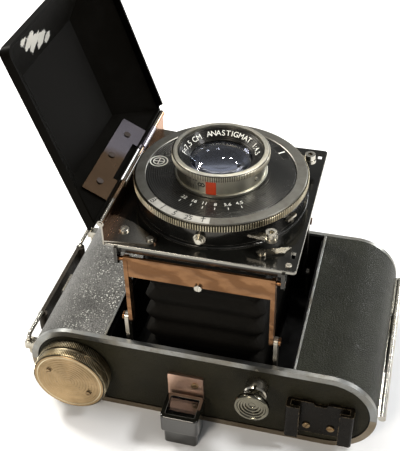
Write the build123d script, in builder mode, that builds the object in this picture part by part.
from build123d import *
import os
from math import cos, radians, sin

os.makedirs("parts", exist_ok=True)

# Strut folding roll-film camera, opened, lying on its back.
# Millimetres. X runs along the body, Y from the fittings end to the far end, Z along the lens axis.
# The origin is where the lens axis meets the flat back.

# ---------------------------------------------------------------- driving dimensions
BODY_LENGTH = 117.0
BODY_DEPTH = 31.9
SHELL_HALF = 34.3             # half height of the shells, along Y
BAND_FACE = 34.9              # outer face of the nickel end bands
PLATE_IN = 32.9               # inner face of the end plates
WALL = 1.2                    # shell wall
COVERING = 0.55               # leather thickness on the shells
BAND_WIDTH = 2.2              # nickel band seen on the end faces
RUN_GAP = 0.3                 # clearance of the back cover round the end plates
OPENING_X = 30.8              # half width of the front opening
SPOOL_X = 42.4                # spool axes
SPOOL_R = 11.3

STANDARD_X = 0.5              # middle of the lens plate and struts
PIVOT_Y = 30.5                # strut pivots
LOWER_Z = 15.5                # lower strut pivot
LINK = 24.5                   # pivot distance of every strut link
LEG_X = 22.1                  # inner face of the strut frame legs, from STANDARD_X
LEG_THICK = 1.3
PIN_R = 0.8
PIN_GAP = 0.06                # radial clearance of the strut pins

PLATE_TOP = 70.5              # front face of the lens plate
PLATE_THICK = 1.0
PLATE_LEFT = -28.5
PLATE_RIGHT = 29.6
PLATE_HALF_Y = 31.5

RING_R = 27.5                 # knurled shutter ring
RING_TOP = 79.7
FACE_R = 23.6
HOUSING_R = 26.5
LENS_RIM_R = 15.2
LENS_RIM_TOP = 87.9

DOOR_AXIS_X = -29.0
DOOR_AXIS_Z = 77.6
DOOR_OPEN = 108.4             # degrees between the open door and the closed one
LEAF_TILT = 44.2              # slope of the door's hinge side, where the leaf is riveted
DOOR_HALF_Y = 34.7
DOOR_SHEET = 0.8
DOOR_DEEP = 10.6              # inside depth of the door pan
DOOR_REACH = 59.3             # from the hinge axis to the free edge
DOOR_RIM = 2.6                # height of the upright rim below the bevel
DOOR_BEVEL = 14.4             # width of the free edge's bevel between the rim and the flat
SIDE_BEVEL = 16.5             # width of the bevels along the two long sides

KNOB_R = 12.8
KNOB_FACE = 42.5              # distance of the knob's face from the middle, along -Y

# ---------------------------------------------------------------- derived values
MID_Z = BODY_DEPTH / 2
BAND_R = BODY_DEPTH / 2
SHELL_R = BAND_R - COVERING
END_CENTRE = BODY_LENGTH / 2 - BAND_R      # centre of each rounded end
GATE_TOP = 3.8
KNEE_Z = LOWER_Z + LINK
UPPER_Z = KNEE_Z + LINK
BIG = 200.0


def across(y):
    """Plane at a given Y, with sketch axes X and Z; it extrudes towards -Y."""
    return Plane(origin=(0, y, 0), x_dir=(1, 0, 0), z_dir=(0, -1, 0))


def along(x):
    """Plane at a given X, with sketch axes Y and Z; it extrudes towards +X."""
    return Plane(origin=(x, 0, 0), x_dir=(0, 1, 0), z_dir=(1, 0, 0))


def tilted(angle):
    """Plane through the door's hinge axis whose sketch X points at an angle from +X."""
    direction = (cos(radians(angle)), 0, sin(radians(angle)))
    return Plane(origin=(DOOR_AXIS_X, 0, DOOR_AXIS_Z), x_dir=direction, z_dir=(0, -1, 0))


def moved(plane, y):
    """The same plane, shifted to a given Y."""
    return Plane(origin=plane.origin + Vector(0, y, 0), x_dir=plane.x_dir, z_dir=plane.z_dir)


def slot_outline(radius, mode=Mode.ADD):
    """Rounded body outline, drawn with the given end radius."""
    with Locations((0, MID_Z)):
        SlotOverall(2 * (END_CENTRE + radius), 2 * radius, mode=mode)


def keep_front(gap=0.0):
    """Keep the half of the current sketch that is in front of the seam."""
    with Locations((0, MID_Z + gap + BIG / 2)):
        Rectangle(2 * BIG, BIG, mode=Mode.INTERSECT)


def keep_back(gap=0.0):
    """Keep the half of the current sketch that is behind the seam."""
    with Locations((0, MID_Z - gap - BIG / 2)):
        Rectangle(2 * BIG, BIG, mode=Mode.INTERSECT)


def save(part, label):
    part.label = label
    export_step(part, f"parts/{label}.step")


# ================================================================ body
with BuildPart() as front_shell:
    with BuildSketch(across(SHELL_HALF)):
        slot_outline(SHELL_R)
        slot_outline(SHELL_R - WALL, Mode.SUBTRACT)
        keep_front()
    extrude(amount=2 * SHELL_HALF)
    with BuildSketch(Plane.XY.offset(BODY_DEPTH - 4)):
        Rectangle(2 * OPENING_X, 2 * PLATE_IN)
    extrude(amount=8, mode=Mode.SUBTRACT)
save(front_shell.part, "front_shell")


def end_plate(side, holes):
    """Stadium-shaped end plate, stepped in behind the seam to clear the back cover."""
    outer_face = SHELL_HALF if side > 0 else -PLATE_IN
    with BuildPart() as plate:
        with BuildSketch(across(outer_face)):
            slot_outline(SHELL_R - WALL)
            keep_front()
        with BuildSketch(across(outer_face)):
            slot_outline(SHELL_R - WALL - RUN_GAP)
            keep_back()
        extrude(amount=SHELL_HALF - PLATE_IN)
        for x, z, radius in holes:
            with BuildSketch(across(outer_face)):
                with Locations((x, z)):
                    Circle(radius)
            extrude(amount=SHELL_HALF - PLATE_IN, mode=Mode.SUBTRACT)
    return plate.part


SHAFT_R = 2.3
BUTTON_X = 20.0
BUTTON_Z = 23.0
BUSH_X = 0.0
BUSH_Z = 9.9
BUSH_R = 4.9
SPOOL_PIN_R = 1.9
save(end_plate(-1, [(-SPOOL_X, MID_Z, SHAFT_R + 0.06),
                    (SPOOL_X, MID_Z, SPOOL_PIN_R),
                    (BUTTON_X, BUTTON_Z, 2.06)]), "near_end_plate")
save(end_plate(1, [(-SPOOL_X, MID_Z, SPOOL_PIN_R),
                   (SPOOL_X, MID_Z, SPOOL_PIN_R),
                   (BUSH_X, BUSH_Z, BUSH_R)]), "far_end_plate")


def band(side, front):
    """Nickel band round half of one end: a lip over the shell and a flat ring on the end face."""
    lip_inner = 33.3
    ring_inner = SHELL_HALF if front else SHELL_HALF + 0.1
    trim = keep_front if front else keep_back
    gap = 0.0 if front else 0.05
    with BuildPart() as one:
        start = BAND_FACE if side > 0 else -lip_inner
        with BuildSketch(across(start)):
            slot_outline(BAND_R)
            slot_outline(SHELL_R, Mode.SUBTRACT)
            trim(gap)
        extrude(amount=BAND_FACE - lip_inner)
        start = BAND_FACE if side > 0 else -ring_inner
        with BuildSketch(across(start)):
            slot_outline(SHELL_R)
            slot_outline(BAND_R - BAND_WIDTH, Mode.SUBTRACT)
            trim(gap)
        extrude(amount=BAND_FACE - ring_inner)
    return one.part


STRIP_WIDTH = 0.9
COVER_HALF_Y = 33.2


def opening_strip(side):
    """Raised nickel strip along one long edge of the front opening."""
    with BuildPart() as strip:
        with BuildSketch(Plane.XY.offset(MID_Z + SHELL_R)):
            with Locations((side * (OPENING_X + STRIP_WIDTH / 2), 0)):
                Rectangle(STRIP_WIDTH, 2 * COVER_HALF_Y)
        extrude(amount=COVERING)
        top = strip.edges().filter_by(Axis.Y).group_by(Axis.Z)[-1]
        fillet(top, 0.2)
    return strip.part


with BuildPart() as seam_bead:
    with BuildSketch(across(COVER_HALF_Y)):
        slot_outline(BAND_R + 0.1)
        slot_outline(SHELL_R, Mode.SUBTRACT)
        keep_front()
        with Locations((-BIG / 2, MID_Z + 0.4)):
            Rectangle(BIG, 0.8, mode=Mode.INTERSECT)
    extrude(amount=2 * COVER_HALF_Y)

front_trim = Compound(children=[band(-1, True), band(1, True), opening_strip(-1),
                                opening_strip(1), seam_bead.part])
save(front_trim, "front_trim")


def front_leather(side):
    """Leather wrapped from the opening round one end to the seam."""
    with BuildPart() as panel:
        with BuildSketch(across(COVER_HALF_Y)):
            slot_outline(SHELL_R + 0.5)
            slot_outline(SHELL_R, Mode.SUBTRACT)
            keep_front(1.0)
            inner = OPENING_X + STRIP_WIDTH + 0.05
            with Locations((side * (inner + BIG / 2), MID_Z)):
                Rectangle(BIG, BIG, mode=Mode.INTERSECT)
        extrude(amount=2 * COVER_HALF_Y)
    return panel.part


save(Compound(children=[front_leather(-1), front_leather(1)]), "front_leather")

END_LEATHER = 0.35


def end_leather(side, holes):
    """Thin leather panel inside the bands of one end."""
    start = SHELL_HALF + END_LEATHER if side > 0 else -SHELL_HALF
    with BuildPart() as panel:
        with BuildSketch(across(start)):
            slot_outline(BAND_R - BAND_WIDTH - 0.35)
            for x, z, radius in holes:
                with Locations((x, z)):
                    Circle(radius, mode=Mode.SUBTRACT)
        extrude(amount=END_LEATHER)
    return panel.part


save(Compound(children=[
    end_leather(-1, [(-SPOOL_X, MID_Z, SHAFT_R + 0.2), (BUTTON_X, BUTTON_Z, 2.3)]),
    end_leather(1, [(BUSH_X, BUSH_Z, BUSH_R + 2.1)]),
]), "end_leathers")

# Light-tight walls between the bellows well and the spool chambers, and the picture gate.
PARTITION_OUT = 30.8
PARTITION_THICK = 0.8
GATE_X = 20.75
GATE_Y = 28.0
with BuildPart() as gate_frame:
    with BuildSketch(Plane.XY.offset(GATE_TOP - 1.0)):
        Rectangle(2 * PARTITION_OUT, 2 * PLATE_IN)
        Rectangle(2 * GATE_X, 2 * GATE_Y, mode=Mode.SUBTRACT)
    extrude(amount=1.0)
    with BuildSketch(Plane.XY.offset(GATE_TOP)):
        with Locations((PARTITION_OUT - PARTITION_THICK / 2, 0),
                       (-PARTITION_OUT + PARTITION_THICK / 2, 0)):
            Rectangle(PARTITION_THICK, 2 * PLATE_IN)
    extrude(amount=MID_Z + SHELL_R - WALL - GATE_TOP)
save(gate_frame.part, "gate_frame")

GUIDE_X = 32.3
with BuildPart() as film_guides:
    with BuildSketch(across(PLATE_IN)):
        with Locations((GUIDE_X, GATE_TOP - 0.2), (-GUIDE_X, GATE_TOP - 0.2)):
            Circle(1.2)
    extrude(amount=2 * PLATE_IN)
save(film_guides.part, "film_guides")

# ================================================================ struts
LOWER_IN = LEG_X + LEG_THICK + 0.2        # lower links run outside the frame legs
LOWER_THICK = 1.2
EAR_IN = LOWER_IN + LOWER_THICK + 0.2     # ears and brackets run outside the lower links
EAR_THICK = 1.0
LINK_R = 1.5
CROSSBAR_Z0 = 58.5
CROSSBAR_Z1 = 66.2


def side_plane(side, near):
    """YZ plane on one side of the standard, extruding away from its middle."""
    return Plane(origin=(STANDARD_X + side * near, 0, 0), x_dir=(0, side, 0), z_dir=(side, 0, 0))


def strut_frame(end):
    """U-shaped upper strut: two legs and the cross bar, with riveted pins at the knees and ears."""
    y = end * PIVOT_Y
    with BuildPart() as frame:
        for side in (-1, 1):
            with BuildSketch(side_plane(side, LEG_X)):
                with Locations((side * y, (KNEE_Z + UPPER_Z) / 2)):
                    SlotOverall(LINK + 2 * LINK_R, 2 * LINK_R, rotation=90)
            extrude(amount=LEG_THICK)
            with BuildSketch(side_plane(side, LEG_X + LEG_THICK)):
                with Locations((side * y, UPPER_Z), (side * y, KNEE_Z)):
                    Circle(PIN_R)
            extrude(amount=EAR_IN - LEG_X - LEG_THICK)
            with BuildSketch(side_plane(side, EAR_IN)):
                with Locations((side * y, UPPER_Z)):
                    Circle(PIN_R)
            extrude(amount=EAR_THICK)
            with BuildSketch(side_plane(side, EAR_IN)):
                with Locations((side * y, KNEE_Z)):
                    Circle(1.35)
            extrude(amount=0.6)
        face_outer = end * (PIVOT_Y + 1.3)
        face_y = max(face_outer, face_outer - end * 0.8)
        with BuildSketch(across(face_y)):
            with Locations((STANDARD_X, (CROSSBAR_Z0 + CROSSBAR_Z1) / 2)):
                Rectangle(2 * (LEG_X + LEG_THICK), CROSSBAR_Z1 - CROSSBAR_Z0)
        extrude(amount=0.8)
    return frame.part


save(strut_frame(-1), "near_strut_frame")
save(strut_frame(1), "far_strut_frame")


def lower_link(end, side):
    """Plain lower strut link with a hole at each end."""
    y = end * PIVOT_Y
    with BuildPart() as link:
        with BuildSketch(side_plane(side, LOWER_IN)):
            with Locations((side * y, (LOWER_Z + KNEE_Z) / 2)):
                SlotOverall(LINK + 2 * LINK_R, 2 * LINK_R, rotation=90)
            with Locations((side * y, LOWER_Z), (side * y, KNEE_Z)):
                Circle(PIN_R + PIN_GAP, mode=Mode.SUBTRACT)
        extrude(amount=LOWER_THICK)
    return link.part


save(Compound(children=[lower_link(-1, -1), lower_link(-1, 1)]), "near_lower_links")
save(Compound(children=[lower_link(1, -1), lower_link(1, 1)]), "far_lower_links")


def strut_bracket(end, side):
    """Lug standing on the gate frame, with the stud that the lower link turns on."""
    y = side * end * PIVOT_Y
    with BuildPart() as lug:
        with BuildSketch(side_plane(side, EAR_IN)):
            with Locations((y, (GATE_TOP + LOWER_Z) / 2)):
                Rectangle(3.4, LOWER_Z - GATE_TOP)
            with Locations((y, LOWER_Z)):
                Circle(1.7)
        extrude(amount=EAR_THICK)
        with BuildSketch(side_plane(side, LOWER_IN)):
            with Locations((y, LOWER_Z)):
                Circle(PIN_R)
        extrude(amount=EAR_IN - LOWER_IN)
    return lug.part


save(Compound(children=[strut_bracket(end, side) for end in (-1, 1) for side in (-1, 1)]),
     "strut_brackets")

# Slotted screw at the lower edge of the near cross bar.
FRAME_SCREW_Y = -(PIVOT_Y + 1.3)
with BuildPart() as frame_screw:
    with BuildSketch(across(FRAME_SCREW_Y)):
        with Locations((STANDARD_X, CROSSBAR_Z0 + 0.2)):
            Circle(1.25)
    extrude(amount=0.8)
    fillet(frame_screw.edges().group_by(Axis.Y)[0], 0.25)
    with BuildSketch(across(FRAME_SCREW_Y - 0.5)):
        with Locations((STANDARD_X, CROSSBAR_Z0 + 0.2)):
            Rectangle(0.35, 3)
    extrude(amount=1, mode=Mode.SUBTRACT)
save(frame_screw.part, "frame_screw")

# ================================================================ lens standard
MOUNT_HOLE_R = 13.0
SLOT_X = 27.5
with BuildPart() as lens_plate:
    with BuildSketch(Plane.XY.offset(PLATE_TOP - PLATE_THICK)):
        with Locations(((PLATE_LEFT + PLATE_RIGHT) / 2, 0)):
            RectangleRounded(PLATE_RIGHT - PLATE_LEFT, 2 * PLATE_HALF_Y, 1.2)
        Circle(MOUNT_HOLE_R, mode=Mode.SUBTRACT)
        with Locations((SLOT_X, -24.4), (SLOT_X, 27.6)):
            Rectangle(1.3, 2.8, mode=Mode.SUBTRACT)
    extrude(amount=PLATE_THICK)
    fillet(lens_plate.edges().filter_by(Plane.XY).group_by(Axis.Z)[-1].filter_by(GeomType.LINE)
           .sort_by(SortBy.LENGTH)[-4:], 0.25)
save(lens_plate.part, "lens_plate")

BOX_BOTTOM = 66.6
BOX_HALF_Y = 30.2
with BuildPart() as standard_box:
    with BuildSketch(Plane.XY.offset(BOX_BOTTOM)):
        with Locations((STANDARD_X, 0)):
            Rectangle(2 * (EAR_IN + EAR_THICK), 2 * BOX_HALF_Y)
        Rectangle(43.0, 47.0, mode=Mode.SUBTRACT)
    extrude(amount=PLATE_TOP - PLATE_THICK - BOX_BOTTOM)
    for end in (-1, 1):
        for side in (-1, 1):
            ear_y = side * end * PIVOT_Y
            with BuildSketch(side_plane(side, EAR_IN)):
                with Locations((ear_y, (UPPER_Z + PLATE_TOP - PLATE_THICK) / 2)):
                    Rectangle(3.4, PLATE_TOP - PLATE_THICK - UPPER_Z)
                with Locations((ear_y, UPPER_Z)):
                    Circle(1.7)
                with Locations((ear_y, UPPER_Z)):
                    Circle(PIN_R + PIN_GAP, mode=Mode.SUBTRACT)
            extrude(amount=EAR_THICK)
save(standard_box.part, "standard_box")

BELLOWS_TOP = PLATE_TOP - PLATE_THICK
with BuildPart() as bellows:
    with BuildSketch(Plane.XY.offset(GATE_TOP)):
        Rectangle(2 * 21.2, 2 * 28.2)
    with BuildSketch(Plane.XY.offset(BELLOWS_TOP)):
        Rectangle(2 * 20.0, 2 * 22.8)
    loft()
    with BuildSketch(Plane.XY.offset(GATE_TOP)):
        Rectangle(2 * 19.6, 2 * 26.6)
    with BuildSketch(Plane.XY.offset(BELLOWS_TOP)):
        Rectangle(2 * 18.4, 2 * 21.2)
    loft(mode=Mode.SUBTRACT)
save(bellows.part, "bellows")


def flat_screw(x, y, z, radius, height, slot_angle):
    """Cheese-head screw standing on a face that looks along +Z."""
    with BuildPart() as screw:
        with BuildSketch(Plane.XY.offset(z)):
            with Locations((x, y)):
                Circle(radius)
        extrude(amount=height)
        fillet(screw.edges().group_by(Axis.Z)[-1], height * 0.4)
        with BuildSketch(Plane.XY.offset(z + height * 0.55)):
            with Locations((x, y)):
                Rectangle(3 * radius, radius * 0.3, rotation=slot_angle)
        extrude(amount=height, mode=Mode.SUBTRACT)
    return screw.part


# Screws of the hinge bracket and of the plate catch.
TAB_TOP = PLATE_TOP + 0.6
plate_screws = [
    flat_screw(-15.3, -27.6, TAB_TOP, 1.2, 0.6, 35),
    flat_screw(-24.2, -25.0, TAB_TOP, 1.6, 0.7, 70),
    flat_screw(-15.3, 27.6, TAB_TOP, 1.2, 0.6, 120),
    flat_screw(-24.2, 25.0, TAB_TOP, 1.6, 0.7, 20),
    flat_screw(27.0, -8.0 - 21.2, PLATE_TOP, 1.0, 0.5, 10),
]
save(Compound(children=plate_screws), "plate_screws")

CATCH_X = 18.5
CATCH_Y = -25.9
CATCH_REACH = 8.0
with BuildPart() as plate_catch:
    with BuildSketch(Plane.XY.offset(PLATE_TOP + 0.1)):
        with Locations((CATCH_X, CATCH_Y)):
            Circle(1.5)
        with BuildLine():
            Polyline((CATCH_X, CATCH_Y - 1.1), (CATCH_X + 6.5, CATCH_Y + 1.5),
                     (CATCH_X + CATCH_REACH, CATCH_Y + 4.4), (CATCH_X + 5.0, CATCH_Y + 3.6),
                     (CATCH_X, CATCH_Y + 1.1), close=True)
        make_face()
    extrude(amount=0.6)
    with BuildSketch(Plane.XY.offset(PLATE_TOP + 0.7)):
        with Locations((CATCH_X, CATCH_Y)):
            Circle(1.2)
    extrude(amount=0.7)
    with BuildSketch(Plane.XY.offset(PLATE_TOP + 1.0)):
        with Locations((CATCH_X, CATCH_Y)):
            Rectangle(4, 0.4, rotation=30)
    extrude(amount=1, mode=Mode.SUBTRACT)
save(plate_catch.part, "plate_catch")

# ================================================================ shutter
FLANGE_TOP = PLATE_TOP + 0.8
HOUSING_TOP = 77.4
RING_BOTTOM = 76.9
BARREL_R = 13.9
with BuildPart() as base_flange:
    with BuildSketch(Plane.XY.offset(PLATE_TOP)):
        Circle(27.6)
        Circle(MOUNT_HOLE_R, mode=Mode.SUBTRACT)
    extrude(amount=FLANGE_TOP - PLATE_TOP)
    fillet(base_flange.edges().group_by(Axis.Z)[-1].sort_by(SortBy.RADIUS)[-1:], 0.3)
save(base_flange.part, "base_flange")

with BuildPart() as shutter_housing:
    with BuildSketch(Plane.XY.offset(FLANGE_TOP)):
        Circle(HOUSING_R)
        Circle(12.6, mode=Mode.SUBTRACT)
    extrude(amount=RING_BOTTOM - 0.15 - FLANGE_TOP)
    with BuildSketch(Plane.XY.offset(RING_BOTTOM - 0.15)):
        Circle(FACE_R - 0.3)
        Circle(12.6, mode=Mode.SUBTRACT)
    extrude(amount=HOUSING_TOP + 0.4 - RING_BOTTOM + 0.15)
save(shutter_housing.part, "shutter_housing")

FACE_BOTTOM = HOUSING_TOP + 0.4
FACE_TOP = RING_TOP - 0.2
with BuildPart() as face_plate:
    with BuildSketch(Plane.XY.offset(FACE_BOTTOM)):
        Circle(FACE_R - 0.2)
        Circle(12.6, mode=Mode.SUBTRACT)
    extrude(amount=FACE_TOP - FACE_BOTTOM)
    fillet(face_plate.edges().group_by(Axis.Z)[-1].sort_by(SortBy.RADIUS)[-1:], 0.3)
save(face_plate.part, "face_plate")

with BuildPart() as speed_ring:
    with BuildSketch(Plane.XY.offset(RING_BOTTOM)):
        Circle(RING_R)
        Circle(FACE_R, mode=Mode.SUBTRACT)
    extrude(amount=RING_TOP - RING_BOTTOM)
    chamfer(speed_ring.edges().group_by(Axis.Z)[-1].sort_by(SortBy.RADIUS)[-1:], 0.5)
save(speed_ring.part, "speed_ring")


def polar_point(radius, angle):
    """Point in plan at a radius and an angle from +X, about the lens axis."""
    return (radius * cos(radians(angle)), radius * sin(radians(angle)))


def lever(pillar, inner_angle, arm_z, cap_z):
    """Shutter lever: an arm that leaves the housing and a hollow pillar at its outer end."""
    root = polar_point(HOUSING_R, inner_angle)
    with BuildPart() as piece:
        with BuildSketch(Plane.XY.offset(arm_z)):
            with BuildLine():
                Line(root, pillar)
            trace(line_width=2.4)
            with Locations(pillar):
                Circle(2.0)
            Circle(HOUSING_R + 0.3, mode=Mode.SUBTRACT)
        extrude(amount=0.9)
        with BuildSketch(Plane.XY.offset(arm_z + 0.9)):
            with Locations(pillar):
                Circle(1.7)
                Circle(0.8, mode=Mode.SUBTRACT)
        extrude(amount=cap_z - arm_z - 0.9)
    return piece.part


PILLAR_NEAR_OUT = polar_point(31.2, -48.5)
PILLAR_FAR_OUT = polar_point(31.2, 36.0)
save(lever(PILLAR_NEAR_OUT, -58.5, 74.6, 77.4), "release_lever")
save(lever(PILLAR_FAR_OUT, 45.0, 74.6, 77.4), "cocking_lever")

POINTER_ANGLE = -26.0
with BuildPart() as aperture_pointer:
    pointer_plane = Plane(origin=(*polar_point(HOUSING_R + 0.15, POINTER_ANGLE), 74.6),
                          x_dir=(-sin(radians(POINTER_ANGLE)), cos(radians(POINTER_ANGLE)), 0),
                          z_dir=(*polar_point(1.0, POINTER_ANGLE), 0))
    with BuildSketch(pointer_plane):
        Rectangle(4.2, 0.9)
        with Locations((0, -1.0)):
            Rectangle(1.1, 1.6)
    extrude(amount=1.1)
save(aperture_pointer.part, "aperture_pointer")

# Threaded socket for a cable release, on the near wall of the housing.
SOCKET_Z = 73.9
with BuildPart() as cable_socket:
    for start, radius, depth in ((HOUSING_R - 0.1, 1.9, 0.9), (HOUSING_R + 0.8, 1.4, 0.8),
                                 (HOUSING_R + 1.6, 0.9, 0.7)):
        with BuildSketch(across(-start)):
            with Locations((0, SOCKET_Z)):
                Circle(radius)
        extrude(amount=depth)
    with BuildSketch(Plane.XY.offset(60)):
        Circle(HOUSING_R)
    extrude(amount=30, mode=Mode.SUBTRACT)
save(cable_socket.part, "cable_socket")

# ================================================================ lens
BARREL_BOTTOM = FACE_TOP + 0.15
GLASS_R = 9.7
RIM_BOTTOM = 85.4
with BuildPart() as focus_ring:
    with BuildSketch(Plane.XZ):
        with BuildLine():
            Polyline((12.2, BARREL_BOTTOM), (BARREL_R + 0.6, BARREL_BOTTOM),
                     (BARREL_R + 0.6, BARREL_BOTTOM + 0.9), (BARREL_R, BARREL_BOTTOM + 0.9),
                     (BARREL_R, RIM_BOTTOM), (LENS_RIM_R, RIM_BOTTOM + 0.4),
                     (LENS_RIM_R, LENS_RIM_TOP - 0.35), (LENS_RIM_R - 0.35, LENS_RIM_TOP),
                     (13.7, LENS_RIM_TOP), (13.4, LENS_RIM_TOP - 0.6),
                     (13.0, 83.4), (12.2, 83.4), close=True)
        make_face()
    revolve(axis=Axis.Z)
save(focus_ring.part, "focus_ring")

with BuildPart() as name_ring:
    with BuildSketch(Plane.XZ):
        with BuildLine():
            Polyline((GLASS_R, 83.4), (12.95, 83.4), (13.3, LENS_RIM_TOP - 0.7),
                     (12.8, LENS_RIM_TOP - 0.7), (GLASS_R, 84.6), close=True)
        make_face()
    revolve(axis=Axis.Z)
save(name_ring.part, "name_ring")

GLASS_BACK = 82.0
GLASS_EDGE = 84.3
GLASS_RISE = 2.5
GLASS_CURVE = (GLASS_R ** 2 + GLASS_RISE ** 2) / (2 * GLASS_RISE)
with BuildPart() as front_lens:
    with BuildSketch(Plane.XZ):
        with BuildLine():
            Line((0, GLASS_BACK), (GLASS_R, GLASS_BACK))
            Line((GLASS_R, GLASS_BACK), (GLASS_R, GLASS_EDGE))
            Line((GLASS_R, GLASS_EDGE), (0, GLASS_EDGE))
            Line((0, GLASS_EDGE), (0, GLASS_BACK))
        make_face()
    revolve(axis=Axis.Z)
    with Locations((0, 0, GLASS_EDGE - GLASS_CURVE + GLASS_RISE)):
        Sphere(GLASS_CURVE)
    with BuildSketch(Plane.XY.offset(GLASS_BACK)):
        Circle(GLASS_R)
    extrude(amount=GLASS_EDGE + GLASS_RISE + 1 - GLASS_BACK, mode=Mode.INTERSECT)
save(front_lens.part, "front_lens")

REAR_BOTTOM = 65.2
with BuildPart() as rear_cell:
    with BuildSketch(Plane.XZ):
        with BuildLine():
            Polyline((10.2, FLANGE_TOP + 0.4), (12.6, FLANGE_TOP + 0.4), (12.6, REAR_BOTTOM + 2.2),
                     (11.6, REAR_BOTTOM), (10.2, REAR_BOTTOM), close=True)
        make_face()
    revolve(axis=Axis.Z)
save(rear_cell.part, "rear_cell")

with BuildPart() as rear_lens:
    with BuildSketch(Plane.XY.offset(REAR_BOTTOM + 0.9)):
        Circle(10.2)
    extrude(amount=3.0)
    fillet(rear_lens.edges().group_by(Axis.Z)[0], 0.8)
save(rear_lens.part, "rear_lens")

# ================================================================ door and its hinge
BARREL_HINGE_R = 1.1
HINGE_PIN_R = 0.6
WALL_LEFT = DOOR_AXIS_X
WALL_TOP = 77.0
LEAF_CLEAR_Z = 76.1           # the wall is lower where the leaf's barrels turn
TAB_END = (-15.3, 27.6)


def hinge_rod(radius, y0, y1):
    """Round bar between two Y values, on the door's hinge axis."""
    with BuildPart() as rod:
        with BuildSketch(moved(tilted(0), y1)):
            Circle(radius)
        extrude(amount=y1 - y0)
    return rod.part


with BuildPart() as hinge_bracket:
    with BuildSketch(along(WALL_LEFT)):
        with Locations((0, (PLATE_TOP - PLATE_THICK + WALL_TOP) / 2)):
            Rectangle(2 * 31.3, WALL_TOP - PLATE_TOP + PLATE_THICK)
        with Locations((0.8, WALL_TOP)):
            Rectangle(41.6, 2 * (WALL_TOP - LEAF_CLEAR_Z), mode=Mode.SUBTRACT)
    extrude(amount=PLATE_LEFT - WALL_LEFT)
    for end in (-1, 1):
        with BuildSketch(Plane.XY.offset(PLATE_TOP)):
            with BuildLine():
                Polyline((WALL_LEFT, end * 31.3), (TAB_END[0], end * 29.9),
                         (TAB_END[0], end * 25.4), (-22.5, end * 21.0),
                         (WALL_LEFT, end * 18.5), close=True)
            make_face()
            with Locations((TAB_END[0], end * 27.65)):
                Circle(2.25)
            Circle(27.9, mode=Mode.SUBTRACT)
        extrude(amount=TAB_TOP - PLATE_TOP)
    add(hinge_rod(BARREL_HINGE_R, -31.5, -20.0))
    add(hinge_rod(BARREL_HINGE_R, 21.6, 31.5))
    add(hinge_rod(HINGE_PIN_R, -40.0, 40.0), mode=Mode.SUBTRACT)
save(Compound(children=[hinge_bracket.part, hinge_rod(HINGE_PIN_R, -31.7, 31.7)]),
     "hinge_bracket")

LEAF_Y0 = -20.6
LEAF_Y1 = 18.8
LEAF_REACH = 10.2
LEAF_IN = 0.5                 # leaf faces, measured square to the leaf from the hinge axis
LEAF_OUT = 1.1
leaf_plane = tilted(DOOR_OPEN + LEAF_TILT)
leaf_face = Plane(origin=leaf_plane.origin, x_dir=leaf_plane.x_dir, z_dir=leaf_plane.y_dir)
with BuildPart() as door_leaf:
    with BuildSketch(leaf_face.offset(LEAF_IN)):
        with Locations((LEAF_REACH / 2, (LEAF_Y0 + LEAF_Y1) / 2)):
            RectangleRounded(LEAF_REACH, LEAF_Y1 - LEAF_Y0, 0.6)
        with Locations((0.6, -0.5)):
            Rectangle(5.6, 19.6, mode=Mode.SUBTRACT)
    extrude(amount=LEAF_OUT - LEAF_IN)
    with BuildSketch(moved(leaf_plane, 40)):
        Circle(BARREL_HINGE_R + 0.15)
    extrude(amount=80, mode=Mode.SUBTRACT)
    for y0, y1 in ((-19.8, -10.2), (9.6, 21.4)):
        with BuildSketch(moved(leaf_plane, y1)):
            Circle(BARREL_HINGE_R)
            with Locations((0.75, (LEAF_IN + LEAF_OUT) / 2)):
                Rectangle(1.5, LEAF_OUT - LEAF_IN)
        extrude(amount=y1 - y0)
        with BuildSketch(moved(leaf_plane, y1)):
            Circle(HINGE_PIN_R + 0.06)
        extrude(amount=y1 - y0, mode=Mode.SUBTRACT)
save(door_leaf.part, "door_leaf")


def rivet(distance, y):
    """Low rivet head on the inner face of the leaf."""
    with BuildPart() as head:
        with BuildSketch(leaf_face.offset(LEAF_IN)):
            with Locations((distance, y)):
                Circle(1.1)
        extrude(amount=-0.35)
    return head.part


save(Compound(children=[rivet(6.4, 12.0), rivet(7.4, -1.0), rivet(6.4, -14.6)]), "leaf_rivets")

door_side = tilted(DOOR_OPEN)
door_face = Plane(origin=door_side.origin, x_dir=door_side.x_dir, z_dir=door_side.y_dir)
door_edge = Plane(origin=door_side.origin, x_dir=(0, 1, 0), z_dir=door_side.x_dir)
RIM_LOW = -0.2                # rim plane, just behind the hinge axis
HINGE_CUT = 0.25              # the open door's lower edge, below the axis


def hinge_slope(offset, height):
    """Distance from the axis of the sloping hinge side, at a height, for a wall offset."""
    tilt = radians(LEAF_TILT)
    start_x = -offset * sin(tilt)
    start_z = offset * cos(tilt)
    return start_x + (height - start_z) * cos(tilt) / sin(tilt)


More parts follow.
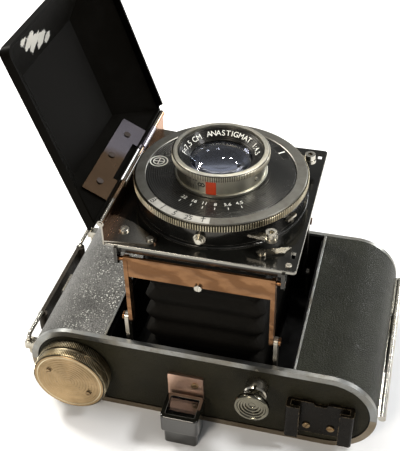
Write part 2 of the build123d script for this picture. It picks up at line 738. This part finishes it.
def door_solid(inset):
    """Bevelled block of the door pan: its outside for inset 0, its inside for the sheet thickness."""
    slope_offset = LEAF_OUT + 0.05 + DOOR_SHEET - inset
    top = DOOR_DEEP + DOOR_SHEET - inset
    reach = DOOR_REACH - inset
    half = DOOR_HALF_Y - inset
    low = RIM_LOW - (1.0 if inset else 0.0)
    rise = DOOR_DEEP + DOOR_SHEET - DOOR_RIM
    slant = (rise ** 2 + DOOR_BEVEL ** 2) ** 0.5
    shoulder = DOOR_RIM - inset * (slant - rise) / DOOR_BEVEL
    bevel = (top - shoulder) * DOOR_BEVEL / rise
    side_slant = (rise ** 2 + SIDE_BEVEL ** 2) ** 0.5
    side_shoulder = DOOR_RIM - inset * (side_slant - rise) / SIDE_BEVEL
    side_bevel = (top - side_shoulder) * SIDE_BEVEL / rise
    with BuildPart() as block:
        with BuildSketch(moved(door_side, DOOR_HALF_Y)):
            with BuildLine():
                Polyline((hinge_slope(slope_offset, low), low), (hinge_slope(slope_offset, top), top),
                         (reach - bevel, top), (reach, shoulder), (reach, low), close=True)
            make_face()
        extrude(amount=2 * DOOR_HALF_Y)
        with BuildSketch(door_edge.offset(-10)):
            with BuildLine():
                Polyline((-half, low), (-half, side_shoulder), (side_bevel - half, top),
                         (half - side_bevel, top), (half, side_shoulder), (half, low), close=True)
            make_face()
        extrude(amount=90, mode=Mode.INTERSECT)
        with BuildSketch(door_face.offset(-5)):
            with Locations(((DOOR_REACH - inset - 20.0) / 2, 0)):
                RectangleRounded(DOOR_REACH - inset + 20.0, 2 * half, 3.0)
        extrude(amount=30, mode=Mode.INTERSECT)
    return block.part


with BuildPart() as door_panel:
    add(door_solid(0.0))
    add(door_solid(DOOR_SHEET), mode=Mode.SUBTRACT)
    with BuildSketch(Plane.XY.offset(DOOR_AXIS_Z - HINGE_CUT)):
        Rectangle(BIG, BIG)
    extrude(amount=-20, mode=Mode.SUBTRACT)
    with BuildSketch(moved(tilted(0), 40)):
        Circle(BARREL_HINGE_R + 0.7)
    extrude(amount=80, mode=Mode.SUBTRACT)
save(door_panel.part, "door_panel")

LEATHER_X0 = 10.5
LEATHER_X1 = 43.6
LEATHER_WIDTH = 34.0
with BuildPart() as door_leather:
    with BuildSketch(door_face.offset(DOOR_DEEP + DOOR_SHEET)):
        with Locations(((LEATHER_X0 + LEATHER_X1) / 2, 0)):
            RectangleRounded(LEATHER_X1 - LEATHER_X0, LEATHER_WIDTH, 2.0)
    extrude(amount=0.5)
save(door_leather.part, "door_leather")

# ================================================================ film transport
def spool():
    """Metal film spool standing along Y, centred at its own axis."""
    half = PLATE_IN - 0.15
    with BuildPart() as one:
        with BuildSketch(across(half)):
            Circle(4.6)
        extrude(amount=2 * half)
        for y in (half, -half + 0.8):
            with BuildSketch(across(y)):
                Circle(SPOOL_R)
            extrude(amount=0.8)
        with BuildSketch(across(half)):
            Circle(2.4)
        extrude(amount=2 * half, mode=Mode.SUBTRACT)
        with BuildSketch(across(half)):
            Rectangle(7.0, 1.1)
        extrude(amount=2 * half, mode=Mode.SUBTRACT)
    return one.part


save(Pos(-SPOOL_X, 0, MID_Z) * spool(), "takeup_spool")
save(Pos(SPOOL_X, 0, MID_Z) * spool(), "feed_spool")

KNOB_BACK = BAND_FACE + 0.3
with BuildPart() as winding_knob:
    knob_axis = Axis((-SPOOL_X, 0, MID_Z), (0, 1, 0))
    with BuildSketch(Plane(origin=(-SPOOL_X, 0, MID_Z), x_dir=(1, 0, 0), z_dir=(0, 0, 1))):
        with BuildLine():
            Polyline((0, -KNOB_BACK), (KNOB_R - 0.4, -KNOB_BACK), (KNOB_R - 0.1, -KNOB_BACK - 0.3),
                     (KNOB_R - 0.1, -38.3), (KNOB_R - 0.8, -38.6), (KNOB_R - 0.8, -39.2),
                     (KNOB_R, -39.5), (KNOB_R, -KNOB_FACE + 0.6), (KNOB_R - 0.7, -KNOB_FACE),
                     (0, -KNOB_FACE), close=True)
        make_face()
    revolve(axis=knob_axis)
    with BuildSketch(across(-30.5)):
        with Locations((-SPOOL_X, MID_Z)):
            Circle(SHAFT_R)
    extrude(amount=KNOB_BACK - 30.5)
    with BuildSketch(across(-28.4)):
        with Locations((-SPOOL_X, MID_Z)):
            Rectangle(6.6, 0.9)
    extrude(amount=4.0)
save(winding_knob.part, "winding_knob")

KNOB_SCREW_OFFSETS = ((-6.6, 3.9), (6.6, -3.9))


def knob_screw(dx, dz):
    """Small screw head in the knob's face."""
    with BuildPart() as head:
        with BuildSketch(across(-KNOB_FACE)):
            with Locations((-SPOOL_X + dx, MID_Z + dz)):
                Circle(0.9)
                Rectangle(2.2, 0.3, rotation=25, mode=Mode.SUBTRACT)
        extrude(amount=0.25)
    return head.part


save(Compound(children=[knob_screw(dx, dz) for dx, dz in KNOB_SCREW_OFFSETS]), "knob_screws")


def spool_pin(x, end):
    """Pin that centres one end of a spool, riveted in its end plate."""
    y_face = end * PLATE_IN
    start = max(y_face - end * 2.0, y_face + end * (SHELL_HALF - PLATE_IN))
    with BuildPart() as pin:
        with BuildSketch(across(start)):
            with Locations((x, MID_Z)):
                Circle(SPOOL_PIN_R)
        extrude(amount=2.0 + SHELL_HALF - PLATE_IN)
    return pin.part


save(Compound(children=[spool_pin(-SPOOL_X, 1), spool_pin(SPOOL_X, 1), spool_pin(SPOOL_X, -1)]),
     "spool_pins")

# ================================================================ fittings on the near end
FACE_Y = -(SHELL_HALF + END_LEATHER)          # outer face of the near end leather
FOOT_X = -3.8
FOOT_THICK = 1.0
FINDER_X0 = -9.7
FINDER_X1 = 3.1
HOOD_TOP = 13.6
HOOD_BOTTOM = 6.6
FINDER_IN = -36.2
FINDER_OUT = -47.0
with BuildPart() as finder_foot:
    with BuildSketch(across(FACE_Y)):
        with Locations((FOOT_X, 12.2)):
            RectangleRounded(12.0, 18.6, 0.6)
    extrude(amount=FOOT_THICK)
    with BuildSketch(across(FACE_Y - FOOT_THICK)):
        with Locations(((FINDER_X0 + FINDER_X1) / 2, 6.9)):
            Rectangle(4.0, 11.0)
    extrude(amount=-(FINDER_IN - FACE_Y + FOOT_THICK))
save(finder_foot.part, "finder_foot")


def finder_box(x0, x1, y0, y1, z0, z1, radius):
    """Rectangular block of the finder, with rounded long edges."""
    with BuildPart() as block:
        with BuildSketch(Plane.XY.offset(z0)):
            with Locations(((x0 + x1) / 2, (y0 + y1) / 2)):
                RectangleRounded(x1 - x0, y1 - y0, radius)
        extrude(amount=z1 - z0)
    return block.part


with BuildPart() as finder_body:
    add(finder_box(FINDER_X0, FINDER_X1, FINDER_OUT, FINDER_IN, HOOD_BOTTOM, HOOD_TOP, 1.4))
    fillet(finder_body.edges().group_by(Axis.Z)[-1], 0.5)
    add(finder_box(FINDER_X0 + 0.8, FINDER_X1 - 0.8, FINDER_OUT + 0.8, FINDER_IN - 0.2,
                   0.2, HOOD_BOTTOM, 1.2))
    add(finder_box(FINDER_X0 + 1.5, FINDER_X1 - 1.5, FINDER_OUT + 1.6, FINDER_IN - 1.5,
                   -1.0, HOOD_TOP + 1.0, 0.5), mode=Mode.SUBTRACT)
save(finder_body.part, "finder_body")


def finder_lens(z0, thick):
    """Rectangular finder lens that fills the tube."""
    return finder_box(FINDER_X0 + 1.5, FINDER_X1 - 1.5, FINDER_OUT + 1.6, FINDER_IN - 1.5,
                      z0, z0 + thick, 0.5)


save(Compound(children=[finder_lens(HOOD_TOP - 2.0, 1.4), finder_lens(0.8, 1.2)]),
     "finder_lenses")

SHOE_X = 40.7
SHOE_WIDTH = 21.6
SHOE_Z0 = 6.4
SHOE_Z1 = 21.0
SHOE_SLOT = 18.7
SHOE_BASE = 1.1
SHOE_SLOT_HIGH = 2.1
SHOE_Y = -(BAND_FACE + 0.15)              # the base stands just proud of the bands
with BuildPart() as accessory_shoe:
    with BuildSketch(Plane(origin=(0, 0, SHOE_Z0), x_dir=(1, 0, 0), z_dir=(0, 0, 1))):
        with Locations((SHOE_X, SHOE_Y - (SHOE_BASE + SHOE_SLOT_HIGH + 1.1) / 2)):
            RectangleRounded(SHOE_WIDTH, SHOE_BASE + SHOE_SLOT_HIGH + 1.1, 1.0)
        with Locations((SHOE_X, SHOE_Y - SHOE_BASE - SHOE_SLOT_HIGH / 2)):
            Rectangle(SHOE_SLOT, SHOE_SLOT_HIGH, mode=Mode.SUBTRACT)
        with Locations((SHOE_X, SHOE_Y - SHOE_BASE - SHOE_SLOT_HIGH)):
            Rectangle(12.6, 6.0, mode=Mode.SUBTRACT)
        with Locations((SHOE_X, SHOE_Y - SHOE_BASE / 2)):
            Rectangle(SHOE_WIDTH - 1.4, SHOE_BASE)
    extrude(amount=SHOE_Z1 - SHOE_Z0)
    with BuildSketch(across(SHOE_Y)):
        with Locations((SHOE_X, SHOE_Z1)):
            SlotOverall(4.6, 2.4)
    extrude(amount=SHOE_BASE, mode=Mode.SUBTRACT)
    with BuildSketch(across(FACE_Y)):
        with Locations((SHOE_X - 1.0, (SHOE_Z0 + SHOE_Z1) / 2)):
            Rectangle(15.0, 10.0)
    extrude(amount=FACE_Y - SHOE_Y)
save(accessory_shoe.part, "accessory_shoe")


def end_screw(x, z, y, radius, slot_angle):
    """Screw head standing on a face that looks along -Y."""
    with BuildPart() as head:
        with BuildSketch(across(y)):
            with Locations((x, z)):
                Circle(radius)
        extrude(amount=0.5)
        fillet(head.edges().group_by(Axis.Y)[0], 0.2)
        with BuildSketch(across(y - 0.3)):
            with Locations((x, z)):
                Rectangle(3 * radius, 0.3 * radius, rotation=slot_angle)
        extrude(amount=1, mode=Mode.SUBTRACT)
    return head.part


save(Compound(children=[
    end_screw(-0.6, 18.0, FACE_Y - FOOT_THICK, 1.25, 20),
    end_screw(36.6, 9.9, SHOE_Y - SHOE_BASE, 1.3, 60),
    end_screw(44.4, 10.2, SHOE_Y - SHOE_BASE, 1.3, 15),
]), "end_screws")

# Collar and push button beside the finder.
COLLAR_OUT = -39.2
DISC_R = 5.6
DISC_BACK = -41.6
DISC_FACE = -44.6
with BuildPart() as button_collar:
    with BuildSketch(across(FACE_Y)):
        with Locations((BUTTON_X, BUTTON_Z)):
            Circle(3.75)
            Circle(2.06, mode=Mode.SUBTRACT)
    extrude(amount=FACE_Y - COLLAR_OUT)
    chamfer(button_collar.edges().group_by(Axis.Y)[0].sort_by(SortBy.RADIUS)[-1:], 0.4)
    with BuildSketch(across(COLLAR_OUT + 1.4)):
        with Locations((BUTTON_X, BUTTON_Z + 3.2)):
            Rectangle(0.9, 2.4)
    extrude(amount=2, mode=Mode.SUBTRACT)
save(button_collar.part, "button_collar")

with BuildPart() as release_button:
    button_plane = Plane(origin=(BUTTON_X, 0, BUTTON_Z), x_dir=(1, 0, 0), z_dir=(0, 0, 1))
    with BuildSketch(button_plane):
        with BuildLine():
            Polyline((0, -33.1), (2.0, -33.1), (2.0, DISC_BACK + 0.4), (3.2, DISC_BACK),
                     (DISC_R - 0.5, DISC_BACK - 0.9), (DISC_R, DISC_BACK - 1.6),
                     (DISC_R - 0.3, DISC_FACE + 0.1), (DISC_R - 0.9, DISC_FACE),
                     (DISC_R - 1.3, DISC_FACE + 0.3), (2.6, DISC_FACE + 1.0),
                     (0, DISC_FACE + 1.3), close=True)
        make_face()
    revolve(axis=Axis((BUTTON_X, 0, BUTTON_Z), (0, 1, 0)))
save(release_button.part, "release_button")

# Tripod bush in the far end.
TRIPOD_R = 3.175              # quarter-inch tripod thread
BUSH_IN = 29.0
BUSH_OUT = SHELL_HALF + 0.6
with BuildPart() as tripod_bush:
    with BuildSketch(across(BUSH_OUT)):
        with Locations((BUSH_X, BUSH_Z)):
            Circle(BUSH_R + 1.8)
    extrude(amount=0.6)
    with BuildSketch(across(BUSH_OUT)):
        with Locations((BUSH_X, BUSH_Z)):
            Circle(BUSH_R)
    extrude(amount=BUSH_OUT - BUSH_IN)
    with BuildSketch(across(BUSH_OUT)):
        with Locations((BUSH_X, BUSH_Z)):
            Circle(TRIPOD_R)
    extrude(amount=BUSH_OUT - BUSH_IN, mode=Mode.SUBTRACT)
save(tripod_bush.part, "tripod_bush")

# ================================================================ carrying strap on the left end
STRAP_X = -60.9
STRAP_Z = 17.2
LOOP_INNER_Y = 18.6
LOOP_OUTER_Y = 30.6
WIRE_R = 0.7
STRAP_WIDTH = 7.0


def strap_loop(end):
    """Rounded wire loop and the lug that ties it to the end of the body."""
    middle = end * (LOOP_INNER_Y + LOOP_OUTER_Y) / 2
    with BuildPart() as loop:
        with BuildSketch(Plane(origin=(STRAP_X, middle, STRAP_Z), x_dir=(0, 1, 0),
                               z_dir=(1, 0, 0)), mode=Mode.PRIVATE) as outline:
            RectangleRounded(LOOP_OUTER_Y - LOOP_INNER_Y, 9.2, 1.6)
        path = outline.sketch.face().outer_wire()
        with BuildSketch(Plane(origin=path @ 0, z_dir=path % 0)):
            Circle(WIRE_R)
        sweep(path=path)
    return loop.part


def strap_lug(end):
    """Lug on the end of the body that the outer bar of a loop passes through."""
    with BuildPart() as lug:
        with BuildSketch(Plane.XY.offset(MID_Z + 0.85)):
            with Locations(((STRAP_X - 57.9) / 2 - 0.3, end * LOOP_OUTER_Y)):
                Rectangle(abs(STRAP_X + 57.9) + 1.8, 3.2)
            with Locations((STRAP_X, end * LOOP_OUTER_Y)):
                Circle(WIRE_R + 0.15, mode=Mode.SUBTRACT)
        extrude(amount=2.8)
        with BuildSketch(across(BIG / 2)):
            slot_outline(SHELL_R + 0.5)
        extrude(amount=BIG, mode=Mode.SUBTRACT)
    return lug.part


save(Compound(children=[strap_loop(-1), strap_loop(1), strap_lug(-1), strap_lug(1)]),
     "strap_loops")

with BuildPart() as carrying_strap:
    with BuildSketch(Plane.XY.offset(STRAP_Z - STRAP_WIDTH / 2)):
        with Locations((STRAP_X - 0.6, 0)):
            Rectangle(1.4, 2 * LOOP_INNER_Y)
        with Locations((STRAP_X, LOOP_INNER_Y), (STRAP_X, -LOOP_INNER_Y)):
            Circle(1.6)
        with Locations((STRAP_X, LOOP_INNER_Y), (STRAP_X, -LOOP_INNER_Y)):
            Circle(WIRE_R + 0.15, mode=Mode.SUBTRACT)
    extrude(amount=STRAP_WIDTH)
save(carrying_strap.part, "carrying_strap")

# ================================================================ back cover
WINDOW_X = 0.0
WINDOW_Y = (-14.0, 14.0)
WINDOW_R = 4.2
with BuildPart() as back_cover:
    with BuildSketch(across(SHELL_HALF)):
        slot_outline(SHELL_R)
        slot_outline(SHELL_R - WALL, Mode.SUBTRACT)
        keep_back(0.05)
    extrude(amount=2 * SHELL_HALF)
    with BuildSketch(Plane.XY.offset(-1)):
        with Locations(*[(WINDOW_X, y) for y in WINDOW_Y]):
            Circle(WINDOW_R)
    extrude(amount=5, mode=Mode.SUBTRACT)
save(back_cover.part, "back_cover")

save(Compound(children=[band(-1, False), band(1, False)]), "back_trim")

with BuildPart() as back_leather:
    with BuildSketch(across(COVER_HALF_Y)):
        slot_outline(BAND_R)
        slot_outline(SHELL_R, Mode.SUBTRACT)
        keep_back(1.3)
    extrude(amount=2 * COVER_HALF_Y)
    with BuildSketch(Plane.XY.offset(-1)):
        with Locations(*[(WINDOW_X, y) for y in WINDOW_Y]):
            Circle(WINDOW_R + 0.8)
    extrude(amount=3, mode=Mode.SUBTRACT)
save(back_leather.part, "back_leather")

with BuildPart() as red_windows:
    with BuildSketch(Plane.XY.offset(MID_Z - SHELL_R + 0.2)):
        with Locations(*[(WINDOW_X, y) for y in WINDOW_Y]):
            Circle(WINDOW_R)
    extrude(amount=0.8)
save(red_windows.part, "red_windows")

BACK_INNER = MID_Z - SHELL_R + WALL
with BuildPart() as pressure_plate:
    with BuildSketch(Plane.XY.offset(BACK_INNER + 0.25)):
        RectangleRounded(58.0, 62.0, 1.0)
        with Locations(*[(WINDOW_X, y) for y in WINDOW_Y]):
            Circle(WINDOW_R, mode=Mode.SUBTRACT)
    extrude(amount=0.6)
    with BuildSketch(Plane.XY.offset(BACK_INNER)):
        with GridLocations(44, 48, 2, 2):
            Circle(1.6)
    extrude(amount=0.25)
save(pressure_plate.part, "pressure_plate")

HINGE_X = BODY_LENGTH / 2 + 1.4
HINGE_TUBE_R = 1.25
KNUCKLE_SPLIT = 14.0


def back_knuckle(y0, y1, front, bore):
    """Length of hinge tube with the leaf that ties it to one shell."""
    tab_z = MID_Z + (0.55 if front else -0.65)
    tab_in = END_CENTRE + SHELL_R + 0.0
    with BuildPart() as knuckle:
        with BuildSketch(across(y1)):
            with Locations((HINGE_X, MID_Z)):
                Circle(HINGE_TUBE_R)
            with Locations(((tab_in + HINGE_X) / 2 - 0.1, tab_z)):
                Rectangle(HINGE_X - tab_in + 0.2, 0.7)
        extrude(amount=y1 - y0)
        with BuildSketch(across(BIG / 2)):
            slot_outline(SHELL_R)
        extrude(amount=BIG, mode=Mode.SUBTRACT)
        if bore:
            with BuildSketch(across(y1)):
                with Locations((HINGE_X, MID_Z)):
                    Circle(bore)
            extrude(amount=y1 - y0, mode=Mode.SUBTRACT)
    return knuckle.part


BACK_PIN_R = 0.6
with BuildPart() as body_knuckles:
    add(back_knuckle(-33.1, -KNUCKLE_SPLIT, True, 0))
    add(back_knuckle(KNUCKLE_SPLIT, 33.1, True, 0))
    with BuildSketch(across(33.1)):
        with Locations((HINGE_X, MID_Z)):
            Circle(BACK_PIN_R)
    extrude(amount=66.2)
save(body_knuckles.part, "body_knuckles")
# Sliding latch on the left end, under the strap.
LATCH_X = -58.95
with BuildPart() as cover_latch:
    with BuildSketch(along(LATCH_X - 0.6)):
        with Locations((0, MID_Z - 0.2)):
            Rectangle(9.0, 6.6)
    extrude(amount=0.6)
    with BuildSketch(along(LATCH_X - 1.0)):
        with GridLocations(1.4, 1, 5, 1):
            with Locations((0, MID_Z - 2.2)):
                Rectangle(0.7, 2.0)
    extrude(amount=0.4)
save(cover_latch.part, "cover_latch")

with BuildPart() as latch_guide:
    for z0, z1 in ((11.4, 12.2),):
        with BuildSketch(along(LATCH_X - 1.0)):
            with Locations((0, (z0 + z1) / 2)):
                Rectangle(14.0, z1 - z0)
        extrude(amount=2.6)
    with BuildSketch(along(LATCH_X + 0.05)):
        with Locations((0, 13.3)):
            Rectangle(14.0, 3.6)
    extrude(amount=1.6)
    with BuildSketch(across(BIG / 2)):
        slot_outline(BAND_R)
    extrude(amount=BIG, mode=Mode.SUBTRACT)
cover_knuckle = back_knuckle(-KNUCKLE_SPLIT + 0.1, KNUCKLE_SPLIT - 0.1, False, BACK_PIN_R + 0.06)
save(Compound(children=[cover_knuckle, latch_guide.part]), "cover_fittings")
